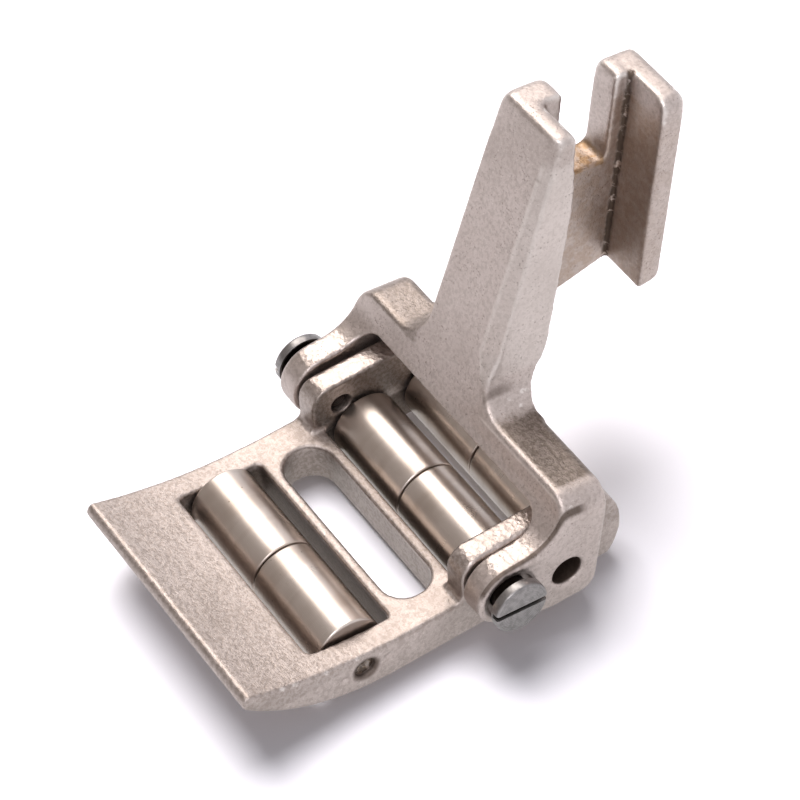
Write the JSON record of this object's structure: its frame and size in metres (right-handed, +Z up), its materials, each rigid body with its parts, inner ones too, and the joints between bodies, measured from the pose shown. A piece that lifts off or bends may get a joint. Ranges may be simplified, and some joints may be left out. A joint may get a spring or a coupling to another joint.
{
  "type": "sewing machine presser foot",
  "caption": "Roller presser foot for an industrial sewing machine: a hinged sole on free rollers, and a yoke with a shank that clamps beside the presser bar.",
  "frame": {"origin": "needle point: middle of the needle slot, on the surface that the rollers stand on", "axes": "+X to the right across the foot, out of the open side of the bar channel; +Y from the toe to the heel; +Z up"},
  "size_m": [0.028, 0.0434, 0.0306],
  "materials": {
    "cast_nickel": "satin nickel plating on a fine cast surface, worn bright on edges",
    "polished_roller": "ground and polished steel",
    "axle_steel": "plain steel pin, staked ends",
    "screw_steel": "turned grey steel"
  },
  "bodies": {
    "yoke": {"yoke_shank": "cast_nickel", "pivot_screw_left": "screw_steel", "pivot_screw_right": "screw_steel"},
    "sole": {"sole_plate": "cast_nickel", "axle_front": "axle_steel", "axle_middle": "axle_steel", "axle_rear": "axle_steel"},
    "roller_front_left": {"roller_front_left": "polished_roller"},
    "roller_front_right": {"roller_front_right": "polished_roller"},
    "roller_middle_left": {"roller_middle_left": "polished_roller"},
    "roller_middle_right": {"roller_middle_right": "polished_roller"},
    "roller_rear_left": {"roller_rear_left": "polished_roller"},
    "roller_rear_right": {"roller_rear_right": "polished_roller"}
  },
  "joints": [
    {"name": "sole_pivot", "type": "hinge", "parent": "yoke", "child": "sole", "pos_m": [0, 0.00433, 0.0052], "axis": [1, 0, 0], "range_deg": [-33, 0]},
    {"name": "roller_front_left_spin", "type": "hinge", "parent": "sole", "child": "roller_front_left", "pos_m": [-0.00411, -0.006, 0.00255], "axis": [1, 0, 0], "continuous": true},
    {"name": "roller_front_right_spin", "type": "hinge", "parent": "sole", "child": "roller_front_right", "pos_m": [0.00411, -0.006, 0.00255], "axis": [1, 0, 0], "continuous": true},
    {"name": "roller_middle_left_spin", "type": "hinge", "parent": "sole", "child": "roller_middle_left", "pos_m": [-0.00411, 0.00585, 0.00255], "axis": [1, 0, 0], "continuous": true},
    {"name": "roller_middle_right_spin", "type": "hinge", "parent": "sole", "child": "roller_middle_right", "pos_m": [0.00411, 0.00585, 0.00255], "axis": [1, 0, 0], "continuous": true},
    {"name": "roller_rear_left_spin", "type": "hinge", "parent": "sole", "child": "roller_rear_left", "pos_m": [-0.00411, 0.0119, 0.00255], "axis": [1, 0, 0], "continuous": true},
    {"name": "roller_rear_right_spin", "type": "hinge", "parent": "sole", "child": "roller_rear_right", "pos_m": [0.00411, 0.0119, 0.00255], "axis": [1, 0, 0], "continuous": true}
  ]
}
